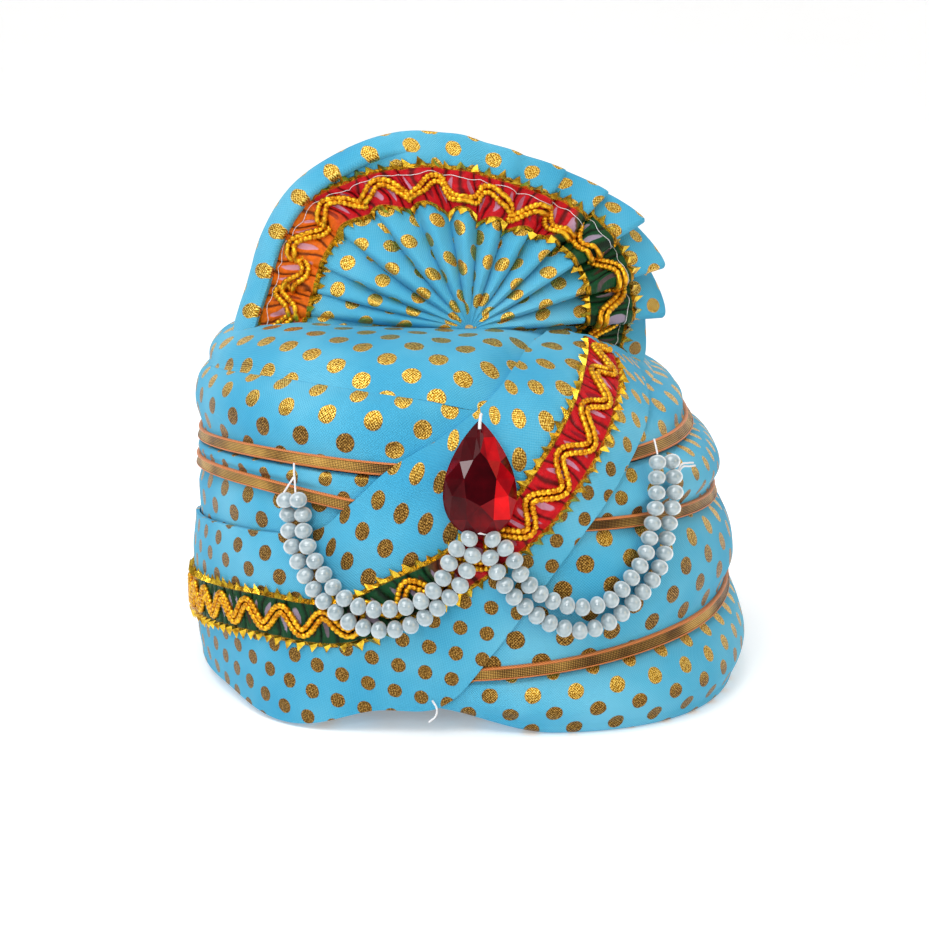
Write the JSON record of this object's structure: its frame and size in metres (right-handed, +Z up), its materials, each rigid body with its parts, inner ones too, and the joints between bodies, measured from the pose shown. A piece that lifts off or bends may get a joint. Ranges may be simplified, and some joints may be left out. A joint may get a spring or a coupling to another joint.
{
  "type": "tied turban",
  "caption": "Small ready-tied turban of spotted cloth: wound rolls, a crossing sash and a pleated fan, trimmed with lace, gilt ribbon, a teardrop stone and pearl swags; hollow, open below.",
  "frame": {"origin": "on the surface that the rim stands on, under the middle of the whole", "axes": "+Z up, -Y towards the front with the stone, +X to the viewer's right seen from the front"},
  "size_m": [0.1704, 0.196, 0.1603],
  "materials": {
    "cloth": "sky-blue woven cloth with gold foil spots",
    "lace": "looped lace in changing colours with gilt cord and points",
    "ribbon": "gilt mesh ribbon with orange piped edges",
    "stone": "faceted red acrylic",
    "pearl": "pearl coating"
  },
  "bodies": {
    "root": {"bottom_roll": "cloth", "lower_wrap": "cloth", "middle_wrap": "cloth", "upper_wrap": "cloth", "crown": "cloth", "sash": "cloth", "sash_lace": "lace", "lower_ribbon": "ribbon", "middle_ribbon": "ribbon", "upper_ribbon": "ribbon", "fan": "cloth", "fan_lace": "lace", "stone": "stone", "pearl_strand_left_upper": "pearl", "pearl_strand_left_lower": "pearl", "pearl_strand_right_upper": "pearl", "pearl_strand_right_lower": "pearl"}
  },
  "joints": []
}
